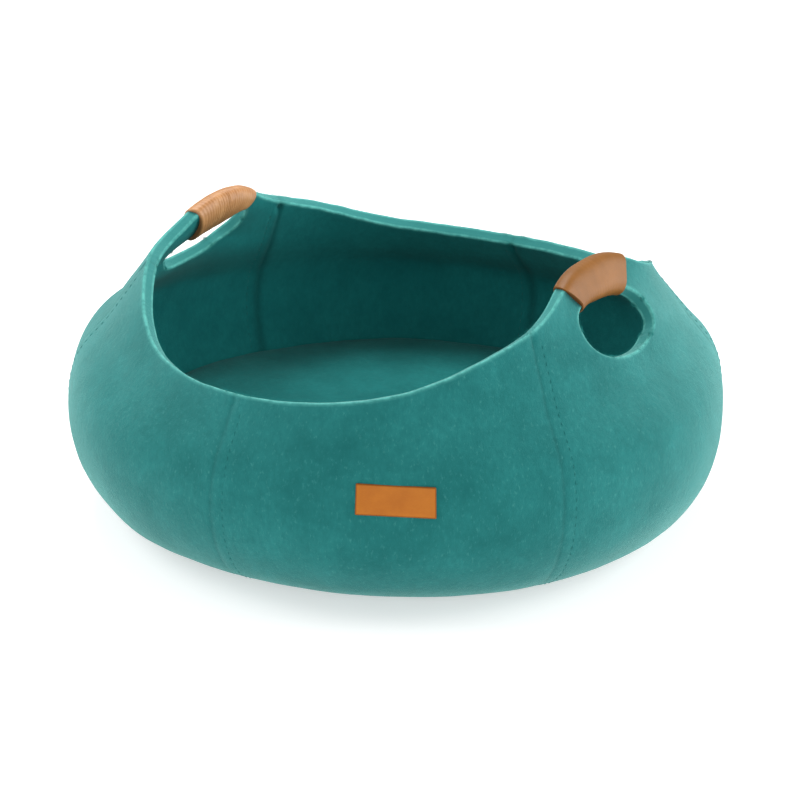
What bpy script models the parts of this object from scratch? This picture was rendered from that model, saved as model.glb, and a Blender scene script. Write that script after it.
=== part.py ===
"""A round felt pet basket with a carrying handle at each side.

Six felt gores stand on a round felt base, bulge at the belly and lean in to a rim that dips at the
front and the back. The two side gores rise into a handle over a hand hole, and each handle has a
leather sleeve. A filled round cushion lies inside and a leather patch is sewn to the front.
Metres, +Z up, +X towards the right handle, origin on the floor under the middle of the base.
"""
import math

import bmesh
import bpy
from mathutils import Vector

# Felt and clearances
FELT = 0.010
GAP = 0.0003
SEAM_GAP_ANGLE = 0.07

# Levels of the wall's outer face: each gore is drawn in under its belly and leans in above it.
# A share is of the belly's radius; the rest of the shoulder's radius is the rim's
BASE_RADIUS = 0.137
BASE_CLEARANCE = 0.0007
TUCK_HEIGHT = 0.027
TUCK_SHARE = 0.957
BELLY_HEIGHT = 0.0435
SHOULDER_HEIGHT = 0.115
SHOULDER_SHARE = 1.07

# The neck lies between shoulder and rim: the part of the way up, and of the way in, it has gone
NECK_RISE = 0.50
NECK_DRAW = 0.52

# One row for each seam and each gore's middle, counter-clockwise from the right handle:
# plan angle in degrees, rim height, rim radius, belly radius
SECTIONS = (
    (0, 0.206, 0.179, 0.244),
    (30, 0.199, 0.195, 0.243),
    (60, 0.164, 0.201, 0.242),
    (90, 0.156, 0.201, 0.237),
    (120, 0.159, 0.204, 0.239),
    (150, 0.187, 0.200, 0.237),
    (180, 0.201, 0.181, 0.248),
    (210, 0.193, 0.189, 0.242),
    (240, 0.161, 0.201, 0.240),
    (270, 0.158, 0.210, 0.233),
    (300, 0.172, 0.214, 0.233),
    (330, 0.202, 0.195, 0.239),
)
SECTION_STEP = 30

# Gores without a handle: name, plan angles of their two seams
PLAIN_GORES = (
    ("gore_back_right", 30, 92),
    ("gore_back_left", 92, 150),
    ("gore_front_left", 210, 268),
    ("gore_front", 268, 330),
)

# Gores with a handle: side, plan angles of their two seams and of the handle's middle, how far the
# handle arches up over the rim and out from it, half the arch's spread in degrees, how squarely the
# arch rises, how far the wall's neck is pushed out below it, and the wall's lean at neck and rim
HANDLE_GORES = (
    ("right", -30, 30, -2, 0.020, -0.007, 21, 3.6, -0.007, -0.2, -0.1),
    ("left", 150, 210, 174, 0.013, -0.005, 18, 3.6, -0.005, -0.3, -0.1),
)
NECK_SPREAD = 1.2
ARCH_LEAN = 0.3
STRIP_WIDTH = 0.022
HOLE_LENGTH = 0.091
HOLE_HEIGHT = 0.049
HOLE_SQUARENESS = 2.4
HOLE_MARGIN = 0.020

# Leather sleeve on a handle's strip: its length along the rim and along the hole
SLEEVE_RIM_LENGTH = 0.104
SLEEVE_HOLE_LENGTH = 0.075
SLEEVE_CLEARANCE = 0.0019
SLEEVE_EDGE_THICKNESS = 0.0018
SLEEVE_DEPTH = 0.020
SLEEVE_SQUARENESS = 4.3

# Filled cushion on the base: radius and height of the turned outline's levels, foot to crown
CUSHION_LEVELS = (
    (0.120, FELT + GAP),
    (0.173, 0.0150),
    (0.199, 0.0245),
    (0.211, 0.0340),
    (0.2155, 0.0400),
    (0.2155, 0.0455),
    (0.210, 0.0500),
    (0.194, 0.0530),
    (0.120, 0.0548),
    (0.050, 0.0554),
)

# Leather patch on the front gore
PATCH_ANGLE = 301
PATCH_HEIGHT = 0.1015
PATCH_WIDTH = 0.056
PATCH_TALL = 0.020
PATCH_THICKNESS = 0.0016

# Facets
GORE_COLUMNS = 8
GORE_ROWS = 12
WAIST_ROWS = 8
HOLE_SIDE_STEPS = 9
HOLE_TOP_STEPS = 20
HOLE_RINGS = 6
HOLE_RING_BIAS = 1.15
SLEEVE_STATIONS = 18
SLEEVE_SIDES = 16
BASE_SIDES = 48
CUSHION_SIDES = 48
PATCH_COLUMNS = 4

# Colour (linear red, green, blue) and roughness
TEAL_FELT = ((0.022, 0.190, 0.185), 0.95)
DARK_FELT = ((0.018, 0.150, 0.150), 0.95)
TAN_LEATHER = ((0.500, 0.270, 0.130), 0.55)
PATCH_LEATHER = ((0.600, 0.200, 0.045), 0.60)


def round_table(column, angle):
    """A smooth closed curve through one column of the sections, read at a plan angle."""
    position = (angle % 360) / SECTION_STEP
    row = int(position)
    s = position - row
    before, here, after, beyond = (
        SECTIONS[(row + step) % len(SECTIONS)][column] for step in (-1, 0, 1, 2)
    )
    return 0.5 * (
        2 * here
        + (after - before) * s
        + (2 * before - 5 * here + 4 * after - beyond) * s**2
        + (3 * here - before - 3 * after + beyond) * s**3
    )


def handle_swells(angle):
    """Each handle's row with how much it changes the rim and the neck at a plan angle, 0 to 1."""
    swells = []
    for row in HANDLE_GORES:
        _, _, _, middle, _, _, spread, squareness, *_ = row
        away = abs((angle - middle + 180) % 360 - 180) / spread
        rim = math.exp(-(away ** squareness))
        neck = math.exp(-((away / NECK_SPREAD) ** squareness))
        swells.append((row, rim, neck))
    return swells


def wall_levels(angle):
    """The (radius, height) levels of the wall's outer face at a plan angle, foot to rim."""
    rim_height = round_table(1, angle)
    rim_radius = round_table(2, angle)
    belly = round_table(3, angle)
    shoulder = SHOULDER_SHARE * belly + (1 - SHOULDER_SHARE) * rim_radius
    lean = (rim_radius - shoulder) / (rim_height - SHOULDER_HEIGHT)
    neck_radius = shoulder + NECK_DRAW * (rim_radius - shoulder)
    for row, rim, neck in handle_swells(angle):
        _, _, _, _, rise, push, _, _, neck_push, *_ = row
        rim_height += rise * rim
        rim_radius += (push + ARCH_LEAN * lean * rise) * rim
        neck_radius += neck_push * neck
    neck_height = SHOULDER_HEIGHT + NECK_RISE * (rim_height - SHOULDER_HEIGHT)
    return [
        Vector((BASE_RADIUS, 0.0)),
        Vector((TUCK_SHARE * belly, TUCK_HEIGHT)),
        Vector((belly, BELLY_HEIGHT)),
        Vector((shoulder, SHOULDER_HEIGHT)),
        Vector((neck_radius, neck_height)),
        Vector((rim_radius, rim_height)),
    ]


def wall_length(angle):
    """The length of the wall's outline from foot to rim at a plan angle."""
    levels = wall_levels(angle)
    return sum((upper - lower).length for lower, upper in zip(levels, levels[1:]))


def along_wall(angle, share):
    """The place and direction of the wall's outline at a plan angle and a share of its length.

    The outline leaves the floor level, so that the wall turns up from a flat base, and a handle
    stands up straighter than the wall that carries it.
    """
    levels = wall_levels(angle)
    spans = [(upper - lower).length for lower, upper in zip(levels, levels[1:])]
    slopes = [(upper - lower) / span for lower, upper, span in zip(levels, levels[1:], spans)]
    directions = [Vector((1.0, 0.0))]
    for k in range(len(slopes) - 1):
        directions.append(
            (slopes[k] * spans[k + 1] + slopes[k + 1] * spans[k]) / (spans[k] + spans[k + 1])
        )
    directions.append(1.5 * slopes[-1] - 0.5 * directions[-1])
    for row, _, neck in handle_swells(angle):
        for level, slant in ((-2, row[-2]), (-1, row[-1])):
            directions[level] = directions[level].lerp(Vector((slant, 1.0)).normalized(), neck)
    distance = share * sum(spans)
    k = 0
    while k < len(spans) - 1 and distance > spans[k]:
        distance -= spans[k]
        k += 1
    s = distance / spans[k]
    start, end = levels[k], levels[k + 1]
    leave, arrive = directions[k] * spans[k], directions[k + 1] * spans[k]
    place = (
        start * (2 * s**3 - 3 * s**2 + 1)
        + leave * (s**3 - 2 * s**2 + s)
        + end * (3 * s**2 - 2 * s**3)
        + arrive * (s**3 - s**2)
    )
    direction = (
        (end - start) * (6 * s - 6 * s**2)
        + leave * (3 * s**2 - 4 * s + 1)
        + arrive * (3 * s**2 - 2 * s)
    )
    return place, direction.normalized()


def wall_point(angle, share, depth=0.0):
    """A point of the wall: share 0 at the foot and 1 at the rim, depth inwards from the outside."""
    place, direction = along_wall(angle, share)
    radius = place.x - depth * direction.y
    height = place.y + depth * direction.x
    turn = math.radians(angle)
    return Vector((radius * math.cos(turn), radius * math.sin(turn), height))


def share_at_height(angle, height):
    """The share of the way up the wall at which its outside reaches a height."""
    low, high = 0.0, 1.0
    for _ in range(30):
        middle = (low + high) / 2
        if wall_point(angle, middle).z < height:
            low = middle
        else:
            high = middle
    return low


def plain_material(name, look):
    """A plain material with a colour and a roughness."""
    colour, roughness = look
    material = bpy.data.materials.new(name)
    material.use_nodes = True
    shader = material.node_tree.nodes["Principled BSDF"]
    shader.inputs["Base Color"].default_value = (*colour, 1.0)
    shader.inputs["Roughness"].default_value = roughness
    shader.inputs["Metallic"].default_value = 0.0
    return material


def add_object(name, mesh, material):
    """Put a finished bmesh into the scene as one named object, its faces pointing out."""
    bmesh.ops.recalc_face_normals(mesh, faces=mesh.faces)
    if mesh.calc_volume(signed=True) < 0:
        bmesh.ops.reverse_faces(mesh, faces=mesh.faces)
    data = bpy.data.meshes.new(name)
    mesh.to_mesh(data)
    mesh.free()
    data.materials.append(material)
    data.shade_smooth()
    data.set_sharp_from_angle(angle=math.radians(40))
    part = bpy.data.objects.new(name, data)
    bpy.context.scene.collection.objects.link(part)
    return part


def skin_between(mesh, first, second, closed):
    """Join two rows of vertices with a band of four-sided faces."""
    count = len(first) if closed else len(first) - 1
    for k in range(count):
        after = (k + 1) % len(first)
        mesh.faces.new((first[k], first[after], second[after], second[k]))


def build_plain_gore(name, first, second, material):
    """A gore without a handle: an outer and an inner skin joined round their four edges."""
    mesh = bmesh.new()
    start = first + SEAM_GAP_ANGLE
    step = (second - first - 2 * SEAM_GAP_ANGLE) / GORE_COLUMNS
    skins = []
    for depth in (0.0, FELT):
        skins.append([
            [
                mesh.verts.new(wall_point(start + step * column, row / GORE_ROWS, depth))
                for column in range(GORE_COLUMNS + 1)
            ]
            for row in range(GORE_ROWS + 1)
        ])
    for skin in skins:
        for lower, upper in zip(skin, skin[1:]):
            skin_between(mesh, lower, upper, closed=False)
    edges = []
    for skin in skins:
        foot, rim = skin[0], skin[-1]
        right_side = [row[-1] for row in skin[1:-1]]
        left_side = [row[0] for row in reversed(skin[1:-1])]
        edges.append([*foot, *right_side, *reversed(rim), *left_side])
    skin_between(mesh, edges[0], edges[1], closed=True)
    add_object(name, mesh, material)


def hole_surround(first, second, waist):
    """The (plan angle, share) places round a handle gore above its waist, from the near corner."""
    width, rise = second - first, 1 - waist
    bottom = [(first + width * k / GORE_COLUMNS, waist) for k in range(GORE_COLUMNS)]
    far_side = [(second, waist + rise * k / HOLE_SIDE_STEPS) for k in range(HOLE_SIDE_STEPS)]
    rim = [(second - width * k / HOLE_TOP_STEPS, 1.0) for k in range(HOLE_TOP_STEPS)]
    near_side = [(first, 1 - rise * k / HOLE_SIDE_STEPS) for k in range(HOLE_SIDE_STEPS)]
    return bottom + far_side + rim + near_side


class HandHole:
    """The rounded oblong hand hole of a handle gore, laid out on the sloping wall."""

    def __init__(self, middle):
        self.middle = middle
        length = wall_length(middle)
        self.centre = length - STRIP_WIDTH - HOLE_HEIGHT / 2
        place, _ = along_wall(middle, self.centre / length)
        self.radius = place.x

    def edge_towards(self, angle, share):
        """The (plan angle, share) of the hole's edge that faces another place of the wall."""
        across = math.radians(angle - self.middle) * self.radius
        up = share * wall_length(angle) - self.centre
        reach = (
            abs(across / (HOLE_LENGTH / 2)) ** HOLE_SQUARENESS
            + abs(up / (HOLE_HEIGHT / 2)) ** HOLE_SQUARENESS
        ) ** (-1 / HOLE_SQUARENESS)
        edge_angle = self.middle + (angle - self.middle) * reach
        return edge_angle, (self.centre + up * reach) / wall_length(edge_angle)

    def top_share(self, angle):
        """The share of the way up the wall of the hole's upper edge at a plan angle."""
        across = math.radians(angle - self.middle) * self.radius / (HOLE_LENGTH / 2)
        rise = (1 - abs(across) ** HOLE_SQUARENESS) ** (1 / HOLE_SQUARENESS)
        return (self.centre + rise * HOLE_HEIGHT / 2) / wall_length(angle)


def build_handle_gore(name, first, second, hole, material):
    """A gore with a hand hole: plain rows up to its waist and rings of faces round the hole."""
    mesh = bmesh.new()
    first, second = first + SEAM_GAP_ANGLE, second - SEAM_GAP_ANGLE
    waist = (hole.centre - HOLE_HEIGHT / 2 - HOLE_MARGIN) / wall_length(hole.middle)
    surround = hole_surround(first, second, waist)
    hole_edge = [hole.edge_towards(angle, share) for angle, share in surround]
    hole_rings, edges = [], []
    for depth in (0.0, FELT):
        rings = []
        for ring in range(HOLE_RINGS + 1):
            part = (ring / HOLE_RINGS) ** HOLE_RING_BIAS
            rings.append([
                mesh.verts.new(wall_point(
                    inner[0] + (outer[0] - inner[0]) * part,
                    inner[1] + (outer[1] - inner[1]) * part,
                    depth,
                ))
                for inner, outer in zip(hole_edge, surround)
            ])
        rows = [
            [
                mesh.verts.new(wall_point(
                    first + (second - first) * column / GORE_COLUMNS,
                    waist * row / WAIST_ROWS,
                    depth,
                ))
                for column in range(GORE_COLUMNS + 1)
            ]
            for row in range(WAIST_ROWS)
        ]
        around = rings[-1]
        for lower, upper in zip(rows, [*rows[1:], around[: GORE_COLUMNS + 1]]):
            skin_between(mesh, lower, upper, closed=False)
        for inner, outer in zip(rings, rings[1:]):
            skin_between(mesh, inner, outer, closed=True)
        hole_rings.append(rings[0])
        far_side = [row[-1] for row in rows[1:]]
        near_side = [row[0] for row in reversed(rows[1:])]
        edges.append([*rows[0], *far_side, *around[GORE_COLUMNS:], around[0], *near_side])
    skin_between(mesh, hole_rings[0], hole_rings[1], closed=True)
    skin_between(mesh, edges[0], edges[1], closed=True)
    add_object(name, mesh, material)


def sleeve_sections(hole):
    """The outer and inner outlines of a sleeve at each station along the handle's strip."""
    outer_rings, inner_rings = [], []
    for station in range(SLEEVE_STATIONS + 1):
        along = station / SLEEVE_STATIONS - 0.5
        rim_angle = hole.middle + math.degrees(along * SLEEVE_RIM_LENGTH / hole.radius)
        hole_angle = hole.middle + math.degrees(along * SLEEVE_HOLE_LENGTH / hole.radius)
        hole_share = hole.top_share(hole_angle)
        low = wall_point(hole_angle, hole_share, FELT / 2)
        strip = (wall_point(rim_angle, 1.0, FELT / 2) - low).length
        slot_up = strip / 2 + SLEEVE_CLEARANCE
        slot_out = FELT / 2 + SLEEVE_CLEARANCE
        outer, inner = [], []
        for side in range(SLEEVE_SIDES):
            turn = 2 * math.pi * side / SLEEVE_SIDES
            x, y = math.cos(turn), math.sin(turn)
            round_reach = (
                abs(x) ** SLEEVE_SQUARENESS + abs(y) ** SLEEVE_SQUARENESS
            ) ** (-1 / SLEEVE_SQUARENESS)
            square_reach = 1 / max(abs(x), abs(y))
            proud_up = x * round_reach * (slot_up + SLEEVE_EDGE_THICKNESS)
            proud_out = y * round_reach * SLEEVE_DEPTH / 2
            for ring, up, out in (
                (outer, proud_up, proud_out),
                (inner, x * square_reach * slot_up, y * square_reach * slot_out),
            ):
                part = 0.5 + up / strip
                ring.append(wall_point(
                    hole_angle + (rim_angle - hole_angle) * part,
                    hole_share + (1 - hole_share) * part,
                    FELT / 2 - out,
                ))
        outer_rings.append(outer)
        inner_rings.append(inner)
    return outer_rings, inner_rings


def build_sleeve(name, hole, material):
    """A leather sleeve round a handle's strip, open at both ends."""
    mesh = bmesh.new()
    outer_rings, inner_rings = sleeve_sections(hole)
    outer = [[mesh.verts.new(point) for point in ring] for ring in outer_rings]
    inner = [[mesh.verts.new(point) for point in ring] for ring in inner_rings]
    for rings in (outer, inner):
        for first, second in zip(rings, rings[1:]):
            skin_between(mesh, first, second, closed=True)
    for end in (0, -1):
        skin_between(mesh, outer[end], inner[end], closed=True)
    add_object(name, mesh, material)


def build_turned(name, levels, sides, material):
    """A solid turned about the vertical axis from (radius, height) levels, closed top and bottom."""
    mesh = bmesh.new()
    rings = []
    for radius, height in levels:
        rings.append([
            mesh.verts.new((
                radius * math.cos(2 * math.pi * side / sides),
                radius * math.sin(2 * math.pi * side / sides),
                height,
            ))
            for side in range(sides)
        ])
    for lower, upper in zip(rings, rings[1:]):
        skin_between(mesh, lower, upper, closed=True)
    mesh.faces.new(rings[0])
    mesh.faces.new(rings[-1])
    add_object(name, mesh, material)


def build_patch(name, material):
    """A bare leather patch that follows the curve of the front gore."""
    mesh = bmesh.new()
    middle = share_at_height(PATCH_ANGLE, PATCH_HEIGHT)
    place, _ = along_wall(PATCH_ANGLE, middle)
    half_angle = math.degrees(PATCH_WIDTH / 2 / place.x)
    distance = middle * wall_length(PATCH_ANGLE)
    skins = []
    for depth in (-GAP - PATCH_THICKNESS, -GAP):
        rows = []
        for up in (-PATCH_TALL / 2, 0.0, PATCH_TALL / 2):
            row = []
            for column in range(PATCH_COLUMNS + 1):
                angle = PATCH_ANGLE + half_angle * (2 * column / PATCH_COLUMNS - 1)
                share = (distance + up) / wall_length(angle)
                row.append(mesh.verts.new(wall_point(angle, share, depth)))
            rows.append(row)
        skins.append(rows)
    for skin in skins:
        for lower, upper in zip(skin, skin[1:]):
            skin_between(mesh, lower, upper, closed=False)
    edges = [[*skin[0], skin[1][-1], *reversed(skin[2]), skin[1][0]] for skin in skins]
    skin_between(mesh, edges[0], edges[1], closed=True)
    add_object(name, mesh, material)


def main():
    """Clear the scene and build every piece."""
    for item in list(bpy.data.objects):
        bpy.data.objects.remove(item, do_unlink=True)
    teal = plain_material("teal_felt", TEAL_FELT)
    dark = plain_material("cushion_felt", DARK_FELT)
    tan = plain_material("tan_leather", TAN_LEATHER)
    orange = plain_material("patch_leather", PATCH_LEATHER)
    base_radius = BASE_RADIUS - BASE_CLEARANCE
    build_turned("base", ((base_radius, 0.0), (base_radius, FELT)), BASE_SIDES, teal)
    for name, first, second in PLAIN_GORES:
        build_plain_gore(name, first, second, teal)
    for side, first, second, middle, *_ in HANDLE_GORES:
        hole = HandHole(middle)
        build_handle_gore(f"gore_handle_{side}", first, second, hole, teal)
        build_sleeve(f"sleeve_{side}", hole, tan)
    build_turned("cushion", CUSHION_LEVELS, CUSHION_SIDES, dark)
    build_patch("patch", orange)


main()
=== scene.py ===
"""The finished look of a round felt pet basket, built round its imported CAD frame.

Six felt gores stand on a round base and lean in to a dipping rim. Two of them rise into a handle
with a leather sleeve over a hand hole. A plush cushion lies inside and a bare leather patch is sewn
to the front. Metres, +Z up, +X towards the right handle, the front towards -Y.
"""
import logging
import math
import random
from bisect import bisect
from dataclasses import dataclass
from enum import Enum
from functools import lru_cache
from itertools import accumulate

import bpy
from mathutils import Matrix, Vector, noise


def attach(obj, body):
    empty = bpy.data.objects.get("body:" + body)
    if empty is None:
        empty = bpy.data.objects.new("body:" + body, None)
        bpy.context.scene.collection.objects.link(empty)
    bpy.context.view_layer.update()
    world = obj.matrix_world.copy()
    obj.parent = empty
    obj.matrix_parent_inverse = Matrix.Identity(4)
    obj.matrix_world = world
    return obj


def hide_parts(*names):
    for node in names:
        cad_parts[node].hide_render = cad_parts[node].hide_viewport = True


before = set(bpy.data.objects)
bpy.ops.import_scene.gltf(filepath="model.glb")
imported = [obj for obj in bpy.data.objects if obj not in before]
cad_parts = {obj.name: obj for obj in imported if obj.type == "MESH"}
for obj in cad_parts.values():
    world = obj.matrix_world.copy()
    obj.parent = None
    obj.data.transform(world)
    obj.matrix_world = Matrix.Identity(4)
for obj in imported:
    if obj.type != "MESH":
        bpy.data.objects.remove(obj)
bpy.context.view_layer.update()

LOG = logging.getLogger("basket")
BODY = "root"
SHARP_FROM = math.radians(55)  # faces that meet at more than this keep a sharp edge
WHITE = (1, 1, 1, 1)
COLOURS = {"data_type": "RGBA"}  # makes a mix node mix colours


# Small helpers


def linear(code: str) -> tuple[float, float, float, float]:
    """The linear colour of an sRGB hex code.

    Args:
        code: the colour, with two hex digits each for red, green and blue after a #.

    Returns:
        Linear red, green and blue, and an alpha of 1.
    """
    channels = []
    for place in (1, 3, 5):
        value = int(code[place:place + 2], 16) / 255
        channels.append(value / 12.92 if value <= 0.04045 else ((value + 0.055) / 1.055) ** 2.4)
    return (*channels, 1.0)


def add_node(
    tree: bpy.types.NodeTree,
    kind: str,
    inputs: dict | None = None,
    output: int | str = 0,
    **settings: str,
) -> bpy.types.NodeSocket:
    """Add a shader node, set its properties, and fill or link its inputs.

    Args:
        tree: the node tree that gets the node.
        kind: the node's type name.
        inputs: input name or number to a value, or to the socket that feeds it.
        output: the name or number of the output that is wanted.
        **settings: properties of the node itself.

    Returns:
        The wanted output of the new node.
    """
    node = tree.nodes.new(kind)
    for name, value in settings.items():
        setattr(node, name, value)
    for name, value in (inputs or {}).items():
        if isinstance(value, bpy.types.NodeSocket):
            tree.links.new(value, node.inputs[name])
        else:
            node.inputs[name].default_value = value
    return node.outputs[output]


def blank_material(
    name: str, sockets: dict
) -> tuple[bpy.types.Material, bpy.types.NodeTree, bpy.types.Node]:
    """Make a material with one Principled shader.

    Args:
        name: the material's name.
        sockets: names of the shader's inputs, with their values.

    Returns:
        The material, its node tree and its shader.
    """
    material = bpy.data.materials.new(name)
    material.use_nodes = True
    tree = material.node_tree
    shader = tree.nodes["Principled BSDF"]
    for socket, value in sockets.items():
        shader.inputs[socket].default_value = value
    return material, tree, shader


def add_piece(
    name: str,
    slot: str,
    verts: list[Vector],
    faces: list[tuple[int, ...]],
    material: bpy.types.Material,
    node: str | None = None,
    marks: dict[str, list[float]] | None = None,
    lining: tuple[bpy.types.Material, list[int]] | None = None,
) -> bpy.types.Object:
    """Make one closed mesh object that rides on the basket.

    Args:
        name: the object's name.
        slot: the name of the record's material slot for it; not used.
        verts: its vertices, in metres.
        faces: its faces as vertex numbers.
        material: the material it carries.
        node: the frame's node that it replaces.
        marks: named values, one for each vertex, that its material reads.
        lining: a second material and the numbers of the faces that carry it.

    Returns:
        The new object.
    """
    mesh = bpy.data.meshes.new(name)
    mesh.from_pydata(verts, [], faces)
    mesh.update()
    mesh.materials.append(material)
    for mark, values in (marks or {}).items():
        attribute = mesh.attributes.new(mark, "FLOAT", "POINT")
        attribute.data.foreach_set("value", values)
    if lining:
        mesh.materials.append(lining[0])
        for number in lining[1]:
            mesh.polygons[number].material_index = 1
    mesh.shade_smooth()
    mesh.set_sharp_from_angle(angle=SHARP_FROM)
    piece = bpy.data.objects.new(name, mesh)
    bpy.context.scene.collection.objects.link(piece)
    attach(piece, BODY)
    if node:
        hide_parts(node)
    return piece


def band(first: list[int], second: list[int], closed: bool) -> list[tuple[int, ...]]:
    """Make four-sided faces between two rows of vertices.

    Args:
        first: the vertex numbers of one row.
        second: those of the other row, as many.
        closed: whether the last vertex of a row meets its first.

    Returns:
        The faces.
    """
    count = len(first) if closed else len(first) - 1
    return [
        (first[k], first[(k + 1) % len(first)], second[(k + 1) % len(first)], second[k])
        for k in range(count)
    ]


def tube(rings: list[list[int]], inwards: bool = False) -> list[tuple[int, ...]]:
    """Four-sided faces between each closed ring of vertex numbers and the next."""
    pairs = zip(rings[1:], rings) if inwards else zip(rings, rings[1:])
    return [face for first, second in pairs for face in band(first, second, closed=True)]


def solid(
    rings: list[list[Vector]], inwards: bool = False, count: int = 0
) -> tuple[list[Vector], list[tuple[int, ...]]]:
    """Make a closed solid through rings of places, with a face over each end.

    Args:
        rings: the rings, each of as many places.
        inwards: whether the rings run the other way round.
        count: how many vertices the mesh has already.

    Returns:
        The new vertices and faces.
    """
    size = len(rings[0])
    numbers = [list(range(count + k * size, count + (k + 1) * size)) for k in range(len(rings))]
    start, end = (numbers[0], numbers[-1][::-1]) if inwards else (numbers[0][::-1], numbers[-1])
    return [place for ring in rings for place in ring], tube(numbers, inwards) + [tuple(start), tuple(end)]


def bell(distance: float, width: float) -> float:
    """A smooth bump of height 1 that fades within about twice its width."""
    return math.exp(-((distance / width) ** 2))


def rounded_reach(x: float, y: float, squareness: float) -> float:
    """What a direction is stretched by to end on a rounded square of half width 1."""
    return (abs(x) ** squareness + abs(y) ** squareness) ** (-1 / squareness)


def smooth_between(
    before: float | Vector, here: float | Vector, after: float | Vector, beyond: float | Vector, s: float
) -> float | Vector:
    """Read a smooth curve through four numbers or places.

    Args:
        before: the first of them.
        here: the second, where s is 0.
        after: the third, where s is 1.
        beyond: the last.
        s: how far along from the second to the third.

    Returns:
        The number or place there.
    """
    return 0.5 * (
        2 * here
        + (after - before) * s
        + (2 * before - 5 * here + 4 * after - beyond) * s**2
        + (3 * here - before - 3 * after + beyond) * s**3
    )


@dataclass(frozen=True)
class Swell:
    """A smooth swelling over a face: its size, and its middle and width each way."""

    size: float
    middle: float
    width: float
    high_middle: float
    high_width: float

    def at(self, across: float, high: float) -> float:
        """How much it swells at a place."""
        part = bell(across - self.middle, self.width)
        return self.size * part * bell(high - self.high_middle, self.high_width)


# The wall's shape, the same as the CAD part's


@dataclass(frozen=True)
class Handle:
    """A handle: its gore's seams, its arch over the rim, and how the wall stands up below it."""

    side: str
    first: float
    second: float
    middle: float
    rise: float
    push: float
    spread: float
    squareness: float
    neck_push: float
    neck_slant: float
    rim_slant: float


@dataclass(frozen=True)
class WallShape:
    """The outline of the felt wall at every plan angle."""

    felt: float = 0.010
    base_radius: float = 0.137
    tuck_height: float = 0.027
    tuck_share: float = 0.957
    belly_height: float = 0.0435
    shoulder_height: float = 0.115
    shoulder_share: float = 1.07
    neck_rise: float = 0.50
    neck_draw: float = 0.52
    # plan angle, rim height, rim radius, belly radius
    sections: tuple[tuple[float, float, float, float], ...] = (
        (0, 0.206, 0.179, 0.244),
        (30, 0.199, 0.195, 0.243),
        (60, 0.164, 0.201, 0.242),
        (90, 0.156, 0.201, 0.237),
        (120, 0.159, 0.204, 0.239),
        (150, 0.187, 0.200, 0.237),
        (180, 0.201, 0.181, 0.248),
        (210, 0.193, 0.189, 0.242),
        (240, 0.161, 0.201, 0.240),
        (270, 0.158, 0.210, 0.233),
        (300, 0.172, 0.214, 0.233),
        (330, 0.202, 0.195, 0.239),
    )
    # seams, middle, rise and push of the rim, spread, squareness, push and slant of the neck, rim slant
    handles: tuple[Handle, ...] = (
        Handle("right", -30, 30, -2, 0.020, -0.007, 21, 3.6, -0.007, -0.2, -0.1),
        Handle("left", 150, 210, 174, 0.013, -0.005, 18, 3.6, -0.005, -0.3, -0.1),
    )
    neck_spread: float = 1.2
    arch_lean: float = 0.3

    def table(self, column: int, angle: float) -> float:
        """Read a smooth closed curve through one column of the sections.

        Args:
            column: the column's number in a section.
            angle: the plan angle.

        Returns:
            The height or radius there.
        """
        count = len(self.sections)
        position = (angle % 360) / (360 / count)
        row = int(position)
        around = (self.sections[(row + step) % count][column] for step in (-1, 0, 1, 2))
        return smooth_between(*around, position - row)

    def swells(self, angle: float) -> list[tuple[Handle, float, float]]:
        """How much each handle changes the wall.

        Args:
            angle: the plan angle.

        Returns:
            Each handle with its change of the rim and of the neck there, from 0 to 1.
        """
        swells = []
        for handle in self.handles:
            away = abs((angle - handle.middle + 180) % 360 - 180) / handle.spread
            rim = math.exp(-(away ** handle.squareness))
            neck = math.exp(-((away / self.neck_spread) ** handle.squareness))
            swells.append((handle, rim, neck))
        return swells

    def outline(self, angle: float) -> tuple[list[Vector], list[float], list[Vector]]:
        """The outline's levels at a plan angle, the spans between them and its directions there."""
        return _outline(self, round(angle % 360, 5))

    def length(self, angle: float) -> float:
        """The length of the wall's outline from foot to rim at a plan angle."""
        return sum(self.outline(angle)[1])

    def along(self, angle: float, share: float) -> tuple[Vector, Vector]:
        """Follow the outline from the foot to the rim.

        Args:
            angle: the plan angle.
            share: the share of the outline's length.

        Returns:
            The (radius, height) place there and the direction.
        """
        levels, spans, directions = self.outline(angle)
        distance = share * sum(spans)
        k = 0
        while k < len(spans) - 1 and distance > spans[k]:
            distance -= spans[k]
            k += 1
        s = distance / spans[k]
        start, end = levels[k], levels[k + 1]
        leave, arrive = directions[k] * spans[k], directions[k + 1] * spans[k]
        place = (
            start * (2 * s**3 - 3 * s**2 + 1)
            + leave * (s**3 - 2 * s**2 + s)
            + end * (3 * s**2 - 2 * s**3)
            + arrive * (s**3 - s**2)
        )
        direction = (
            (end - start) * (6 * s - 6 * s**2)
            + leave * (3 * s**2 - 4 * s + 1)
            + arrive * (3 * s**2 - 2 * s)
        )
        return place, direction.normalized()

    def point(self, angle: float, share: float, depth: float = 0.0) -> Vector:
        """A point of the wall.

        Args:
            angle: the plan angle.
            share: the share of the way up, 0 at the foot and 1 at the rim.
            depth: how far inwards from the outside.

        Returns:
            The point in the basket's frame.
        """
        place, direction = self.along(angle, share)
        radius = place.x - depth * direction.y
        height = place.y + depth * direction.x
        turn = math.radians(angle)
        return Vector((radius * math.cos(turn), radius * math.sin(turn), height))

    def share_at_height(self, angle: float, height: float) -> float:
        """Find where the wall's outside reaches a height.

        Args:
            angle: the plan angle.
            height: the height over the floor.

        Returns:
            The share of the way up the wall.
        """
        low, high = 0.0, 1.0
        for _ in range(30):
            middle = (low + high) / 2
            if self.point(angle, middle).z < height:
                low = middle
            else:
                high = middle
        return low


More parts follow.
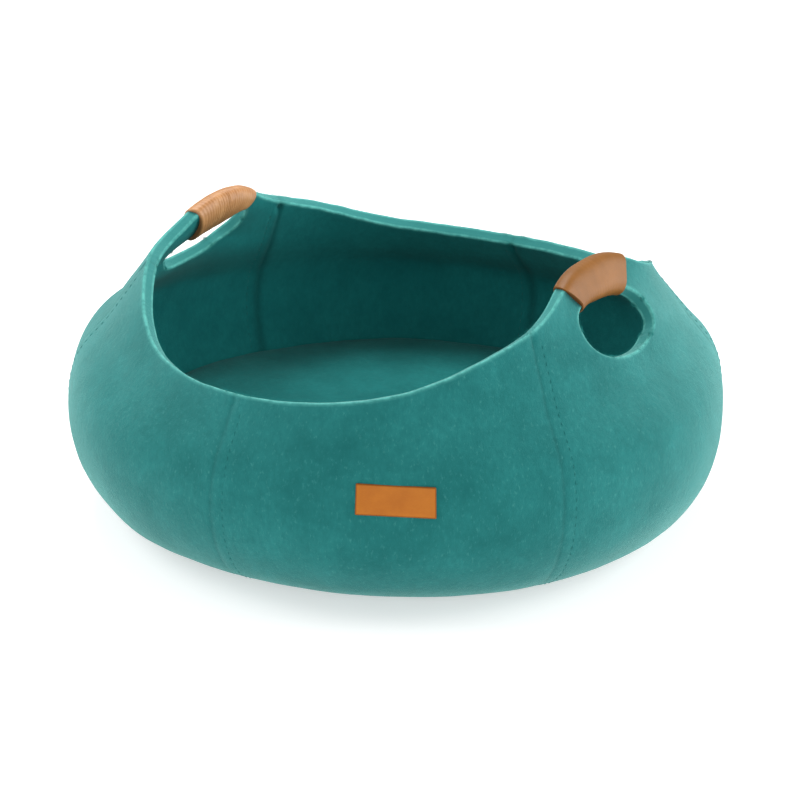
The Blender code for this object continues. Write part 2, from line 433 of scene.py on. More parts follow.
@lru_cache(maxsize=None)
def _outline(wall: WallShape, angle: float) -> tuple[list[Vector], list[float], list[Vector]]:
    """Work out the wall's outline, once for each angle.

    Args:
        wall: the wall.
        angle: the plan angle.

    Returns:
        The outline's levels, the spans between them and its directions at them.
    """
    rim_height, rim_radius, belly = (wall.table(column, angle) for column in (1, 2, 3))
    shoulder = wall.shoulder_share * belly + (1 - wall.shoulder_share) * rim_radius
    lean = (rim_radius - shoulder) / (rim_height - wall.shoulder_height)
    neck_radius = shoulder + wall.neck_draw * (rim_radius - shoulder)
    swells = wall.swells(angle)
    for handle, rim, neck in swells:
        rim_height += handle.rise * rim
        rim_radius += (handle.push + wall.arch_lean * lean * handle.rise) * rim
        neck_radius += handle.neck_push * neck
    neck_height = wall.shoulder_height + wall.neck_rise * (rim_height - wall.shoulder_height)
    levels = [
        Vector((wall.base_radius, 0.0)),
        Vector((wall.tuck_share * belly, wall.tuck_height)),
        Vector((belly, wall.belly_height)),
        Vector((shoulder, wall.shoulder_height)),
        Vector((neck_radius, neck_height)),
        Vector((rim_radius, rim_height)),
    ]
    spans = [(upper - lower).length for lower, upper in zip(levels, levels[1:])]
    slopes = [(upper - lower) / span for lower, upper, span in zip(levels, levels[1:], spans)]
    directions = [Vector((1.0, 0.0))]
    for k in range(len(slopes) - 1):
        directions.append(
            (slopes[k] * spans[k + 1] + slopes[k + 1] * spans[k]) / (spans[k] + spans[k + 1])
        )
    directions.append(1.5 * slopes[-1] - 0.5 * directions[-1])
    for handle, _, neck in swells:
        for level, slant in ((-2, handle.neck_slant), (-1, handle.rim_slant)):
            directions[level] = directions[level].lerp(Vector((slant, 1.0)).normalized(), neck)
    return levels, spans, directions


@dataclass(frozen=True)
class HandHole:
    """The rounded oblong hand hole of a handle gore, laid out on the sloping wall."""

    wall: WallShape
    middle: float
    strip: float = 0.022
    length: float = 0.091
    height: float = 0.049
    squareness: float = 2.4

    @property
    def centre(self) -> float:
        """How far up the wall the hole's middle is."""
        return self.wall.length(self.middle) - self.strip - self.height / 2

    @property
    def radius(self) -> float:
        """The wall's radius at the hole's middle."""
        return self.wall.along(self.middle, self.centre / self.wall.length(self.middle))[0].x

    def edge_towards(self, angle: float, share: float) -> tuple[float, float]:
        """Find the place of the hole's edge that faces another place of the wall.

        Args:
            angle: the other place's plan angle.
            share: its share of the way up.

        Returns:
            The plan angle and the share of the place on the edge.
        """
        across = math.radians(angle - self.middle) * self.radius
        up = share * self.wall.length(angle) - self.centre
        reach = rounded_reach(across / (self.length / 2), up / (self.height / 2), self.squareness)
        edge_angle = self.middle + (angle - self.middle) * reach
        return edge_angle, (self.centre + up * reach) / self.wall.length(edge_angle)

    def top_share(self, angle: float) -> float:
        """Find the hole's upper edge.

        Args:
            angle: the plan angle.

        Returns:
            The share of the way up the wall.
        """
        across = math.radians(angle - self.middle) * self.radius / (self.length / 2)
        rise = (1 - abs(across) ** self.squareness) ** (1 / self.squareness)
        return (self.centre + rise * self.height / 2) / self.wall.length(angle)


# Materials


@dataclass(frozen=True)
class Pattern:
    """A cloudy pattern in a material. Its scale is in features per metre."""

    scale: float
    detail: float
    roughness: float
    low: float | None = None
    high: float | None = None

    def grey(self, tree: bpy.types.NodeTree, place: bpy.types.NodeSocket) -> bpy.types.NodeSocket:
        """Add the pattern to a material.

        Args:
            tree: the material's node tree.
            place: the coordinates, in metres.

        Returns:
            Its grey value, with low to high spread over 0 to 1 where they are given.
        """
        grey = add_node(tree, "ShaderNodeTexNoise", {
            "Vector": place, "Scale": self.scale, "Detail": self.detail, "Roughness": self.roughness,
        })
        if self.low is None:
            return grey
        return add_node(tree, "ShaderNodeMapRange", {0: grey, 1: self.low, 2: self.high})


@dataclass(frozen=True)
class FeltFinish:
    """Needle-punched felt: matt fibres tangled flat, of slightly different dyes, so it is mottled.

    The eye gets a soft cloudy colour with lighter flecks, a velvety bright rim where it turns away,
    and no gloss. The fibres are drawn about twenty times coarser than real to show in a picture.
    """

    name: str
    shade: str = "#0f5857"
    light: str = "#287b79"
    fleck: str = "#4f9c97"
    edge: str = "#2f7b78"
    arris: str = "#5aaba3"
    flecks: float = 0.30
    clouds: Pattern = Pattern(16, 5, 0.72, 0.25, 0.78)  # uneven dye, 60 mm
    worn: Pattern = Pattern(150, 4, 0.7, 0.15, 0.62)  # rubbed places along an arris, 7 mm
    lumps: Pattern = Pattern(240, 3, 0.6)  # lumps in the batting, 4 mm
    tufts: Pattern = Pattern(300, 4, 0.75, 0.30, 0.72)  # brushed tufts, 3 mm
    tips: Pattern = Pattern(480, 3, 0.65, 0.58, 0.78)  # pale tips of fibres, 2 mm
    fibres: Pattern = Pattern(1500, 3, 0.7)  # drawn 0.7 mm wide where real ones are about 0.03 mm
    upright: float = 0.45  # the patterns are longer upwards than across
    dull: float = 0.55  # how far the felt between the tufts goes back to the shade
    sheen: float = 0.56
    lump_height: float = 0.0005
    fibre_height: float = 0.0006
    # painted shade: the colour is multiplied by this where it is marked, in the creases by the seams and
    # round the cushion's edge by the wall; along the seams it is partly the pressed fibres' own darker tone
    crease_shade_tone: float = 0.85

    def material(self) -> bpy.types.Material:
        """Build the felt's shader.

        Returns:
            The material.
        """
        material, tree, shader = blank_material(self.name, {
            "Roughness": 0.95,
            "IOR": 1.4,
            "Specular IOR Level": 0.15,
            "Sheen Weight": self.sheen,
            "Sheen Roughness": 0.45,
            "Sheen Tint": linear("#a3d9d2"),
        })
        plain = add_node(tree, "ShaderNodeTexCoord", output="Object")
        streaky = add_node(tree, "ShaderNodeMapping", {0: plain, 3: (1, 1, self.upright)})
        cut, arris, crease = (
            add_node(tree, "ShaderNodeAttribute", output="Fac", attribute_name=name)
            for name in ("cut_edge", "arris", "crease")
        )
        tips, worn = (
            add_node(tree, "ShaderNodeMath", {0: grey, 1: share}, operation="MULTIPLY")
            for grey, share in (
                (self.tips.grey(tree, streaky), self.flecks), (self.worn.grey(tree, plain), arris)
            )
        )
        clouds, tufts = self.clouds.grey(tree, plain), self.tufts.grey(tree, streaky)
        shade, light, fleck, edge, rubbed = (
            linear(code) for code in (self.shade, self.light, self.fleck, self.edge, self.arris)
        )
        cloudy = add_node(tree, "ShaderNodeMix", {0: clouds, 6: shade, 7: light}, 2, **COLOURS)
        dulled = add_node(tree, "ShaderNodeMix", {0: self.dull, 6: cloudy, 7: shade}, 2, **COLOURS)
        colour = dulled
        for factor, layer in ((tufts, cloudy), (tips, fleck), (cut, edge), (worn, rubbed)):
            colour = add_node(tree, "ShaderNodeMix", {0: factor, 6: colour, 7: layer}, 2, **COLOURS)
        # painted shade in the marked creases
        crease_shade_tint = add_node(
            tree, "ShaderNodeMix", {0: crease, 6: WHITE, 7: (self.crease_shade_tone,) * 3 + (1,)}, 2, **COLOURS
        )
        colour = add_node(
            tree, "ShaderNodeMix", {0: 1.0, 6: colour, 7: crease_shade_tint}, 2, **COLOURS, blend_type="MULTIPLY"
        )
        tree.links.new(colour, shader.inputs["Base Color"])
        fine = add_node(tree, "ShaderNodeBump", {
            "Strength": 0.5, "Distance": self.fibre_height, "Height": self.fibres.grey(tree, streaky),
        })
        coarse = add_node(tree, "ShaderNodeBump", {
            "Strength": 0.5, "Distance": self.lump_height, "Height": self.lumps.grey(tree, plain),
            "Normal": fine,
        })
        tree.links.new(coarse, shader.inputs["Normal"])
        return material


@dataclass(frozen=True)
class LeatherFinish:
    """Vegetable-tanned cowhide: a smooth dyed grain with a soft wax shine.

    The eye gets a warm even colour with fine pores, a broad soft highlight and darker cut edges.
    The pores are drawn about five times coarser than real to show in a picture.
    """

    name: str
    shade: str
    light: str
    rough: float
    shine: float = 0.5
    grain: float = 0.18
    clouds: Pattern = Pattern(60, 4, 0.6, 0.3, 0.7)  # uneven dye, 17 mm
    pore_scale: float = 900.0  # features per metre, pores drawn 1.1 mm wide
    pore_depth: float = 0.0004
    cut_tone: tuple[float, ...] = (0.45, 0.40, 0.36, 1)  # what a cut edge's colour is multiplied by

    def material(self) -> bpy.types.Material:
        """Build the leather's shader.

        Returns:
            The material.
        """
        material, tree, shader = blank_material(
            self.name, {"Roughness": self.rough, "IOR": 1.45, "Specular IOR Level": self.shine}
        )
        plain = add_node(tree, "ShaderNodeTexCoord", output="Object")
        cut = add_node(tree, "ShaderNodeAttribute", output="Fac", attribute_name="cut_edge")
        colour, dark = (
            add_node(tree, "ShaderNodeMix", {0: factor, 6: first, 7: second}, 2, **COLOURS)
            for factor, first, second in (
                (self.clouds.grey(tree, plain), linear(self.shade), linear(self.light)),
                (cut, WHITE, self.cut_tone),
            )
        )
        colour = add_node(
            tree, "ShaderNodeMix", {0: 1.0, 6: colour, 7: dark}, 2, **COLOURS, blend_type="MULTIPLY"
        )
        tree.links.new(colour, shader.inputs["Base Color"])
        pores = add_node(tree, "ShaderNodeTexVoronoi", {"Vector": plain, "Scale": self.pore_scale})
        bump = add_node(
            tree, "ShaderNodeBump", {"Strength": self.grain, "Distance": self.pore_depth, "Height": pores}
        )
        tree.links.new(bump, shader.inputs["Normal"])
        return material


# The felt wall


@dataclass(frozen=True)
class FeltSurface:
    """How the sewn felt departs from the plain wall: waves, seam creases and softened edges."""

    wall: WallShape
    seams: tuple[float, ...] = (-92, -30, 30, 92, 150, 210)
    nominal_radius: float = 0.200
    edge_round: float = 0.0015
    crease_depth: float = 0.00022
    crease_width: float = 0.0018
    ridge_height: float = 0.00003
    stitch_line: float = 0.0080
    stitch_dip: float = 0.00008
    stitch_width: float = 0.0011
    ridge_middle: float = 0.52  # shares of the way to the stitch line
    ridge_width: float = 0.30
    inside_fold: float = 2.2
    crease_shade_inside: float = 2.2  # how wide the painted shade of a crease is, in widths of the crease
    crease_shade_outside: float = 0.8
    notch: Swell = Swell(0.0012, 0.001, 0.0028, 0.006, 0.0035)  # by metres past a seam, below the rim
    arris_width: float = 0.0016
    rim_wobble: float = 0.0005
    rim_reach: float = 0.006
    wobble_scale: float = 75.0
    wave: float = 0.0011
    wave_scale: float = 14.0
    ripple: float = 0.00035
    ripple_scale: float = 48.0
    fullness: Swell = Swell(0.0046, 40, 15, 0.72, 0.16)  # by plan angle and share of the way up
    corner: Swell = Swell(0.0034, 36, 10, 1.0, 0.10)
    foot_share: float = 0.08
    most_drop: float = 0.42

    def from_seam(self, angle: float) -> float:
        """The distance past the nearest seam, anticlockwise positive, at the nominal radius."""
        nearest = min(((angle - seam + 180) % 360 - 180 for seam in self.seams), key=abs)
        return math.radians(nearest) * self.nominal_radius

    def rounding(self, distance: float) -> float:
        """How far a face drops towards a softened edge.

        Args:
            distance: how far it is from the edge.

        Returns:
            The drop.
        """
        if distance >= self.edge_round:
            return 0.0
        gap = self.edge_round - max(distance, 0.0)
        return self.edge_round - math.sqrt(self.edge_round**2 - gap**2)

    def seam_drop(self, angle: float, below_rim: float) -> float:
        """How far the face is drawn in along a seam: its creased dip, its ridge and its row of stitches.

        Args:
            angle: the plan angle.
            below_rim: how far it is below the rim.

        Returns:
            The drop.
        """
        away, line = self.from_seam(angle), self.stitch_line
        drop = self.crease_depth * bell(away, self.crease_width)
        drop -= self.ridge_height * bell(away - line * self.ridge_middle, line * self.ridge_width)
        drop += self.stitch_dip * bell(away - line, self.stitch_width)
        return drop + self.notch.at(away, below_rim)

    def waves(self, point: Vector, angle: float, share: float) -> float:
        """How far the felt is drawn in by slow waves, ripples, a full shoulder and a soft rim corner.

        Args:
            point: the place on the plain wall.
            angle: its plan angle.
            share: its share of the way up.

        Returns:
            The depth, which is less than 0 where the felt stands out.
        """
        wave = self.wave * noise.noise(point * self.wave_scale)
        ripple = self.ripple * noise.noise(point * self.ripple_scale)
        return wave + ripple + self.corner.at(angle, share) - self.fullness.at(angle, share)

    def place(
        self, angle: float, share: float, inside: bool, hole_distance: float
    ) -> tuple[Vector, float, float]:
        """A vertex of the finished felt.

        Args:
            angle: the plan angle.
            share: the share of the way up the wall.
            inside: whether it is on the face towards the cushion.
            hole_distance: how far it is from the edge of a hand hole.

        Returns:
            The place, how much painted shade a seam's crease gives it and how near an arris, both from 0 to
            1.
        """
        below_rim = (1 - share) * self.wall.length(angle)
        drop = self.rounding(below_rim) + self.rounding(hole_distance)
        seam = self.seam_drop(angle, below_rim)
        if inside:
            seam *= self.inside_fold
        drop = min(drop + seam, self.wall.felt * self.most_drop)
        wave = self.waves(self.wall.point(angle, share), angle, share)
        foot = min(1.0, share / self.foot_share)
        depth = (self.wall.felt - drop if inside else drop) + wave * foot
        place = self.wall.point(angle, share, depth)
        place.z += self.rim_wobble * noise.noise(place * self.wobble_scale) * bell(below_rim, self.rim_reach)
        place.z = max(place.z, 0.0)
        # painted shade along each seam's crease, wider on the inside face
        dark = self.crease_width * (self.crease_shade_inside if inside else self.crease_shade_outside)
        crease = bell(self.from_seam(angle), dark)
        arris = bell(max(min(below_rim, hole_distance), 0.0), self.arris_width)
        return place, crease, arris


# how far from a hole or the rim, and from a seam, each row of vertices lies
EDGE_STEPS = (0.0, 0.0002, 0.0005, 0.0010, 0.0018, 0.0032)
SEAM_STEPS = (
    0.00001, 0.0008, 0.0014, 0.0021, 0.0029, 0.0038, 0.0048, 0.0058,
    0.0067, 0.0074, 0.0080, 0.0086, 0.0093, 0.0103, 0.0118, 0.0140,
)


class GoreKind(Enum):
    """Whether a gore is plain or carries a handle."""

    PLAIN = "plain"
    HANDLE = "handle"


@dataclass
class Gore:
    """One felt gore of the wall, its faces, softened rim and sewn edges."""

    node: str
    first: float
    second: float
    surface: FeltSurface
    hole: HandHole | None = None
    row_step: float = 0.004
    column_step: float = 0.005
    hole_margin: float = 0.020
    middle_rings: int = 6
    edge_rows: int = 4
    edge_fray: float = 0.00025
    fray_scale: float = 260.0
    fray_from: float = 0.02
    near_most: float = 0.40  # the most that the rows by the hole, or by the seam, take of a ray
    far_most: float = 0.45

    @property
    def kind(self) -> GoreKind:
        """The gore's kind."""
        return GoreKind.HANDLE if self.hole else GoreKind.PLAIN

    def columns(self) -> list[float]:
        """Place the columns, close together along the seams.

        Returns:
            Their plan angles.
        """
        radius = self.surface.nominal_radius
        near = [math.degrees(step / radius) for step in SEAM_STEPS]
        width = self.second - self.first
        inner = width - 2 * near[-1]
        count = math.ceil(math.radians(inner) * radius / self.column_step)
        middle = [near[-1] + inner * k / count for k in range(1, count)]
        offsets = near + middle + [width - step for step in reversed(near)]
        return [self.first + offset for offset in offsets]

    def shares(self, low: float, high: float) -> list[float]:
        """Place the rows, close together near the rim.

        Args:
            low: the lowest row's share of the way up.
            high: the highest row's.

        Returns:
            The shares of all rows.
        """
        length = self.surface.wall.length((self.first + self.second) / 2)
        top = high - (EDGE_STEPS[-1] / length if high == 1.0 else 0.0)
        count = max(2, math.ceil((top - low) * length / self.row_step))
        rows = [low + (top - low) * k / count for k in range(count + 1)]
        if high == 1.0:
            rows += [1.0 - step / length for step in reversed(EDGE_STEPS[:-1])]
        return rows

    def ray(self, inner: tuple[float, float], outer: tuple[float, float]) -> list[tuple[float, float]]:
        """How far along the way from the hole's edge to the gore's, and from the hole's edge.

        Args:
            inner: the (plan angle, share) on the hole's edge.
            outer: the (plan angle, share) on the gore's edge.

        Returns:
            A (share of the way, distance from the hole) pair for each ring.
        """
        wall = self.surface.wall
        reach = (wall.point(*outer) - wall.point(*inner)).length
        ends = [step * min(1.0, self.near_most * reach / EDGE_STEPS[-1]) for step in EDGE_STEPS]
        seams = [step * min(1.0, self.far_most * reach / SEAM_STEPS[-1]) for step in SEAM_STEPS]
        near, far = ends[-1], reach - seams[-1]
        steps = ends[:-1]
        steps += [near + (far - near) * k / self.middle_rings for k in range(self.middle_rings)]
        steps += [reach - step for step in reversed(seams[1:])] + [reach]
        return [(step / reach, step) for step in steps]

    def build(self, material: bpy.types.Material, lining: bpy.types.Material) -> bpy.types.Object:
        """Build the gore from its outside and its inside felt face.

        Args:
            material: the outside's material.
            lining: the inside's.

        Returns:
            The gore's object.
        """
        self.inside_faces: list[int] = []
        self.verts: list[Vector] = []
        self.faces: list[tuple[int, ...]] = []
        self.cut: list[float] = []
        self.crease: list[float] = []
        self.arris: list[float] = []
        skin = self.skin if self.kind is GoreKind.PLAIN else self.holed_skin
        for outer, inner in zip(skin(False), skin(True)):
            self.edge(outer, inner)
        return add_piece(
            self.node.replace("gore", "felt"),
            "wall_felt",
            self.verts,
            self.faces,
            material,
            self.node,
            {"cut_edge": self.cut, "crease": self.crease, "arris": self.arris},
            (lining, self.inside_faces),
        )

    def vertex(self, angle: float, share: float, inside: bool, hole_distance: float = 1.0) -> int:
        """Add one vertex of a skin.

        Args:
            angle: its plan angle.
            share: its share of the way up.
            inside: whether it is on the face towards the cushion.
            hole_distance: how far it is from the edge of a hand hole.

        Returns:
            Its number.
        """
        place, crease, arris = self.surface.place(angle, share, inside, hole_distance)
        self.verts.append(place)
        self.cut.append(0.0)
        self.crease.append(crease)
        self.arris.append(arris)
        return len(self.verts) - 1

    def lay(self, first: list[int], second: list[int], inside: bool, closed: bool) -> None:
        """Add a band of faces that looks outwards from the felt.

        Args:
            first: the vertex numbers of one row.
            second: those of the other row.
            inside: whether the rows are on the face towards the cushion.
            closed: whether the rows are rings.
        """
        for face in band(first, second, closed):
            if inside:
                self.inside_faces.append(len(self.faces))
            self.faces.append(tuple(reversed(face)) if inside else face)

    def lay_grid(self, rows: list[list[int]], inside: bool) -> tuple[list[int], list[int]]:
        """Add the faces between all rows.

        Args:
            rows: the vertex numbers of each row.
            inside: whether the rows are on the face towards the cushion.

        Returns:
            The vertices up the far side and those down the near side.
        """
        for lower, upper in zip(rows, rows[1:]):
            self.lay(lower, upper, inside, closed=False)
        return [row[-1] for row in rows[1:-1]], [row[0] for row in reversed(rows[1:-1])]

    def skin(self, inside: bool) -> list[list[int]]:
        """Build one face of a plain gore.

        Args:
            inside: whether it is the face towards the cushion.

        Returns:
            Its boundary, as one closed row of vertex numbers.
        """
        columns = self.columns()
        rows = [
            [self.vertex(angle, share, inside) for angle in columns]
            for share in self.shares(0.0, 1.0)
        ]
        far, near = self.lay_grid(rows, inside)
        return [[*rows[0], *far, *reversed(rows[-1]), *near]]

    def holed_skin(self, inside: bool) -> list[list[int]]:
        """Build one face of a handle gore.

        Args:
            inside: whether it is the face towards the cushion.

        Returns:
            The boundaries of the gore and of its hole, as closed rows of vertex numbers.
        """
        wall, columns = self.surface.wall, self.columns()
        bottom = self.hole.centre - self.hole.height / 2 - self.hole_margin
        waist = bottom / wall.length(self.hole.middle)
        sides = self.shares(waist, 1.0)
        surround = [(angle, waist) for angle in columns]
        surround += [(columns[-1], share) for share in sides[1:-1]]
        surround += [(angle, 1.0) for angle in reversed(columns)]
        surround += [(columns[0], share) for share in reversed(sides[1:-1])]
        rays = []
        for outer in surround:
            inner = self.hole.edge_towards(*outer)
            rays.append([
                self.vertex(
                    inner[0] + (outer[0] - inner[0]) * part,
                    inner[1] + (outer[1] - inner[1]) * part,
                    inside,
                    distance,
                )
                for part, distance in self.ray(inner, outer)
            ])
        rings = [list(ring) for ring in zip(*rays)]
        for inner_ring, outer_ring in zip(rings, rings[1:]):
            self.lay(outer_ring, inner_ring, inside, closed=True)
        rows = [
            [self.vertex(angle, share, inside) for angle in columns]
            for share in self.shares(0.0, waist)[:-1]
        ]
        rows.append(rings[-1][:len(columns)])
        far, near = self.lay_grid(rows, inside)
        boundary = [*rows[0], *far, *rings[-1][len(columns) - 1:], rings[-1][0], *near]
        return [boundary, list(reversed(rings[0]))]

    def edge(self, outer: list[int], inner: list[int]) -> None:
        """Close the cut edge between the two faces with a few rows across the felt.

        Args:
            outer: the outside face's boundary.
            inner: the inside face's.
        """
        rows = [outer]
        for k in range(1, self.edge_rows + 1):
            part = k / (self.edge_rows + 1)
            row = []
            for first, second in zip(outer, inner):
                place = self.verts[first].lerp(self.verts[second], part)
                fray = self.edge_fray * noise.noise(place * self.fray_scale)
                place.z += fray * min(1.0, place.z / self.fray_from)
                self.verts.append(place)
                self.cut.append(1.0)
                self.crease.append(self.crease[first])
                self.arris.append(0.0)
                row.append(len(self.verts) - 1)
            rows.append(row)
        rows.append(inner)
        self.faces += tube(rows, inwards=True)


# The other pieces


@dataclass
class Turned:
    """A piece turned about the vertical axis from a smooth outline."""

    node: str
    name: str
    slot: str
    levels: tuple[tuple[float, float], ...]
    sides: int
    steps: int
    wave: float
    ripple: float
    # how wide the painted shade is round the outer edge, where the wall shades the piece; none where it is 0
    painted_shade_width: float = 0.0
    wave_scale: float = 13.0
    ripple_scale: float = 45.0
    fade_height: float = 0.03

    def outline(self) -> list[tuple[float, float]]:
        """Smooth the outline.

        Returns:
            Its levels with smooth steps between them.
        """
        points = [Vector(level) for level in self.levels]
        smooth = []
        for k in range(len(points) - 1):
            before, after = points[max(k - 1, 0)], points[min(k + 2, len(points) - 1)]
            for step in range(self.steps):
                smooth.append(smooth_between(before, points[k], points[k + 1], after, step / self.steps))
        smooth.append(points[-1])
        return [(point.x, point.y) for point in smooth]

    def build(self, material: bpy.types.Material) -> bpy.types.Object:
        """Turn the outline into a closed piece with soft waves.

        Args:
            material: the piece's material.

        Returns:
            Its object.
        """
        rings, painted_wall_shade = [], []
        outermost = max(radius for radius, _ in self.levels)
        for radius, height in self.outline():
            # painted shade: the ring nearest the wall is darkened, standing in for the wall's shadow
            shade = bell(outermost - radius, self.painted_shade_width) if self.painted_shade_width else 0.0
            painted_wall_shade += [shade] * self.sides
            fade = min(1.0, height / self.fade_height)
            ring = []
            for side in range(self.sides):
                turn = 2 * math.pi * side / self.sides
                point = Vector((radius * math.cos(turn), radius * math.sin(turn), height))
                swell = self.wave * noise.noise(point * self.wave_scale)
                swell += self.ripple * noise.noise(point * self.ripple_scale)
                ring.append(point + Vector((0, 0, swell * fade)))
            rings.append(ring)
        return add_piece(self.name, self.slot, *solid(rings), material, self.node, {"crease": painted_wall_shade})


@dataclass
class Sleeve:
    """A padded leather sleeve sewn round a handle's strip of felt."""

    side: str
    hole: HandHole
    surface: FeltSurface
    rib_height: float
    rib_pitch: float
    rim_length: float = 0.101
    hole_length: float = 0.068
    clearance: float = 0.0009
    edge_thickness: float = 0.0018
    depth: float = 0.0190
    squareness: float = 2.5
    slot_squareness: float = 6.0
    rib_middle: float = 0.6
    rib_mean: float = 0.80
    rib_spread: float = 0.6
    rib_slack: float = 0.0009
    rib_fade: float = 0.42
    slack_along: float = 90.0
    slack_around: float = 1.3
    stations: int = 96
    sides: int = 48
    end_round: float = 0.0012

    def section(self, along: float, trim: float) -> tuple[list[Vector], list[Vector]]:
        """The outer and inner outlines of the sleeve at one place along the strip.

        Args:
            along: from -0.5 at one end to 0.5 at the other.
            trim: how far the outer outline is drawn in by the rounded end.

        Returns:
            The two outlines.
        """
        wall, hole = self.surface.wall, self.hole
        rim_angle = hole.middle + math.degrees(along * self.rim_length / hole.radius)
        hole_angle = hole.middle + math.degrees(along * self.hole_length / hole.radius)
        hole_share = hole.top_share(hole_angle)
        low = wall.point(hole_angle, hole_share, wall.felt / 2)
        strip = (wall.point(rim_angle, 1.0, wall.felt / 2) - low).length
        slot_up, slot_out = strip / 2 + self.clearance, wall.felt / 2 + self.clearance
        outer, inner = [], []
        run = along * self.rim_length
        for side in range(self.sides):
            turn = 2 * math.pi * side / self.sides
            x, y = math.cos(turn), math.sin(turn)
            reach = rounded_reach(x, y, self.squareness)
            place = (run * self.slack_along, x * self.slack_around, y * self.slack_around)
            slack = noise.noise(Vector(place))
            rib = abs(math.sin(math.pi * (run + self.rib_slack * slack) / self.rib_pitch))
            grow = self.rib_height * (rib - self.rib_middle) * (self.rib_mean + self.rib_spread * slack)
            grow = grow * bell(along, self.rib_fade) - trim
            up = x * reach * (slot_up + self.edge_thickness + grow)
            out = y * reach * (self.depth / 2 + grow)
            square = rounded_reach(x, y, self.slot_squareness)
            places = ((outer, up, out), (inner, x * square * slot_up, y * square * slot_out))
            for ring, raised, proud in places:
                part = 0.5 + raised / strip
                ring.append(wall.point(
                    hole_angle + (rim_angle - hole_angle) * part,
                    hole_share + (1 - hole_share) * part,
                    wall.felt / 2 - proud,
                ))
        return outer, inner

    def build(self, material: bpy.types.Material) -> bpy.types.Object:
        """Build the sleeve.

        Args:
            material: its leather.

        Returns:
            Its object.
        """
        verts, cut, outer_rings, inner_rings = [], [], [], []
        for station in range(self.stations + 1):
            along = station / self.stations - 0.5
            to_end = (0.5 - abs(along)) * self.rim_length
            gap = max(self.end_round - to_end, 0.0)
            trim = self.end_round - math.sqrt(self.end_round**2 - gap**2)
            outer, inner = self.section(along, trim)
            at_end = station in (0, self.stations)
            for rings, points, mark in ((outer_rings, outer, float(at_end)), (inner_rings, inner, 1.0)):
                rings.append(list(range(len(verts), len(verts) + len(points))))
                verts += points
                cut += [mark] * len(points)
        faces = tube(outer_rings, inwards=True) + tube(inner_rings)
        faces += band(outer_rings[0], inner_rings[0], closed=True)
        faces += band(inner_rings[-1], outer_rings[-1], closed=True)
        return add_piece(
            f"leather_sleeve_{self.side}", "tan_leather", verts, faces, material, f"sleeve_{self.side}",
            {"cut_edge": cut},
        )


@dataclass
class Patch:
    """The bare leather patch on the front gore, with rounded corners and edges."""

    surface: FeltSurface
    angle: float = 301
    height: float = 0.1025
    width: float = 0.0565
    tall: float = 0.022
    thickness: float = 0.0019
    sunk: float = 0.0006
    corner: float = 0.0009
    least_corner: float = 0.0002
    around: int = 96

    def rim(self, inset: float) -> list[tuple[float, float]]:
        """Draw the patch's outline.

        Args:
            inset: how far it is drawn in.

        Returns:
            Its places, across and up from the patch's middle.
        """
        half_width, half_tall = self.width / 2 - inset, self.tall / 2 - inset
        corner = max(self.corner - inset, self.least_corner)
        places = []
        for quarter in range(4):
            for k in range(self.around // 4):
                turn = math.pi / 2 * (quarter + k / (self.around // 4 - 1))
                x = corner * math.cos(turn) + (half_width - corner) * (1 if quarter in (0, 3) else -1)
                y = corner * math.sin(turn) + (half_tall - corner) * (1 if quarter in (0, 1) else -1)
                places.append((x, y))
        return places

    def build(self, material: bpy.types.Material) -> bpy.types.Object:
        """Build the patch as one closed piece that follows the gore.

        Args:
            material: its leather.

        Returns:
            Its object.
        """
        wall = self.surface.wall
        middle = wall.share_at_height(self.angle, self.height)
        distance = middle * wall.length(self.angle)
        radius = wall.along(self.angle, middle)[0].x
        cut, rings = [], []
        top, seat = self.thickness, -self.sunk
        # inset from the outline, height over the felt, how dark the cut edge is
        layers = (
            (0.0085, top, 0.0), (0.004, top, 0.0), (0.0014, top, 0.0), (0.0008, top - 0.0001, 0.6),
            (0.0002, top - 0.0004, 1.0), (0.0, top - 0.0009, 1.0), (0.0, seat, 1.0), (0.004, seat, 1.0),
        )
        for inset, height, mark in layers:
            ring = []
            for across, up in self.rim(inset):
                angle = self.angle + math.degrees(across / radius)
                ring.append(wall.point(angle, (distance + up) / wall.length(angle), -height))
            rings.append(ring)
            cut += [mark] * len(ring)
        mesh = solid(rings, inwards=True)
        return add_piece("leather_patch", "patch_leather", *mesh, material, "patch", {"cut_edge": cut})


